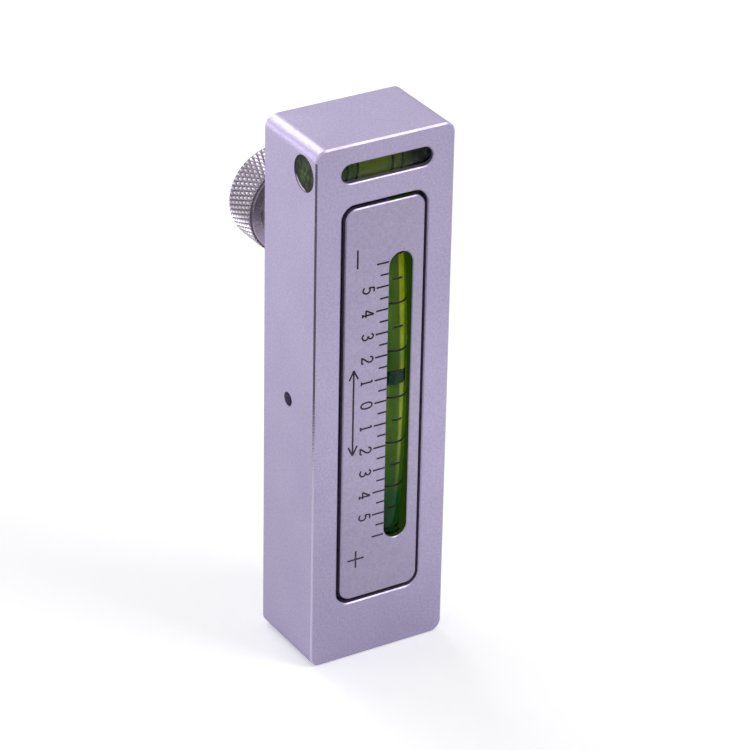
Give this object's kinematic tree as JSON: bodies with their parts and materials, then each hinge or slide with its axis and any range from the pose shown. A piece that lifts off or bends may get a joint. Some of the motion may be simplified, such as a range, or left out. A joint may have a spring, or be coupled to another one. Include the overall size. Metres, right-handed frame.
{
  "type": "camber caster gauge",
  "caption": "Magnetic camber and caster gauge: an aluminium block with a tilting bent-vial scale carrier, a cross levelling vial and a knurled zeroing knob.",
  "frame": {"origin": "centre of the flat hub end of the block, on the face of the magnet, which the gauge stands on", "axes": "+Z along the block from the hub end to the levelling vial, -Y out of the scale face, +Y towards the adjusting knob, +X to the right seen from the scale face"},
  "size_m": [0.031, 0.0438, 0.115],
  "materials": {
    "block_aluminium": "bead-blasted, clear anodised",
    "plate_aluminium": "fine brushed, clear anodised",
    "carrier_aluminium": "milled, clear anodised",
    "knob_aluminium": "turned and diamond knurled, clear anodised",
    "hardware_steel": "turned and ground",
    "black_steel": "black oxide",
    "bushing_aluminium": "turned",
    "pot_steel": "zinc plated",
    "magnet_nickel": "nickel plated",
    "spacer_brass": "turned",
    "vial_tube": "clear, polished",
    "vial_spirit": "yellow-green liquid",
    "vial_bubble": "air",
    "vial_marks": "black ink",
    "vial_plug": "black resin",
    "vial_plaster": "setting plaster",
    "scale_enamel": "black filling enamel"
  },
  "bodies": {
    "block": {"body_block": "block_aluminium", "pivot_pin": "hardware_steel", "magnet_cup": "pot_steel", "hub_magnet": "magnet_nickel", "magnet_spacer_ring": "spacer_brass", "cross_vial_tube": "vial_tube", "cross_vial_plugs": "vial_plug", "cross_vial_liquid": "vial_spirit", "cross_vial_rings": "vial_marks", "cross_vial_bed": "vial_plaster", "stud_bushing": "bushing_aluminium", "wave_washer": "hardware_steel"},
    "carrier": {"vial_carrier": "carrier_aluminium", "scale_plate": "plate_aluminium", "scale_ticks": "scale_enamel", "plate_screws": "black_steel", "link_pin": "hardware_steel", "long_vial_tube": "vial_tube", "long_vial_plugs": "vial_plug", "long_vial_liquid": "vial_spirit", "long_vial_rings": "vial_marks", "long_vial_bed": "vial_plaster"},
    "stud": {"adjusting_stud": "hardware_steel"},
    "knob": {"knurled_knob": "knob_aluminium", "knob_grub_screws": "black_steel"},
    "long_bubble": {"long_vial_bubble": "vial_bubble"},
    "cross_bubble": {"cross_vial_bubble": "vial_bubble"}
  },
  "joints": [
    {"name": "knob_turn", "type": "hinge", "parent": "block", "child": "knob", "pos_m": [0, 0.0246, 0.0854], "axis": [0, 1, 0], "range_deg": [-540, 540]},
    {"name": "stud_travel", "type": "slide", "parent": "block", "child": "stud", "axis": [0, 1, 0], "range_m": [-0.00121, 0.00121]},
    {"name": "carrier_tilt", "type": "hinge", "parent": "block", "child": "carrier", "pos_m": [0, 0, 0.0575], "axis": [1, 0, 0], "range_deg": [-2.48, 2.48]},
    {"name": "camber_bubble_travel", "type": "hinge", "parent": "carrier", "child": "long_bubble", "pos_m": [0, 0.28601, 0.0575], "axis": [1, 0, 0], "range_deg": [-5.4, 7]},
    {"name": "level_bubble_travel", "type": "slide", "parent": "block", "child": "cross_bubble", "axis": [1, 0, 0], "range_m": [-0.0079, 0.0079]}
  ],
  "couplings": [
    {"joint": "stud_travel", "follows": "knob_turn", "m_per_rad": -0.00012732},
    {"joint": "carrier_tilt", "follows": "knob_turn", "ratio": 0.0045636}
  ]
}
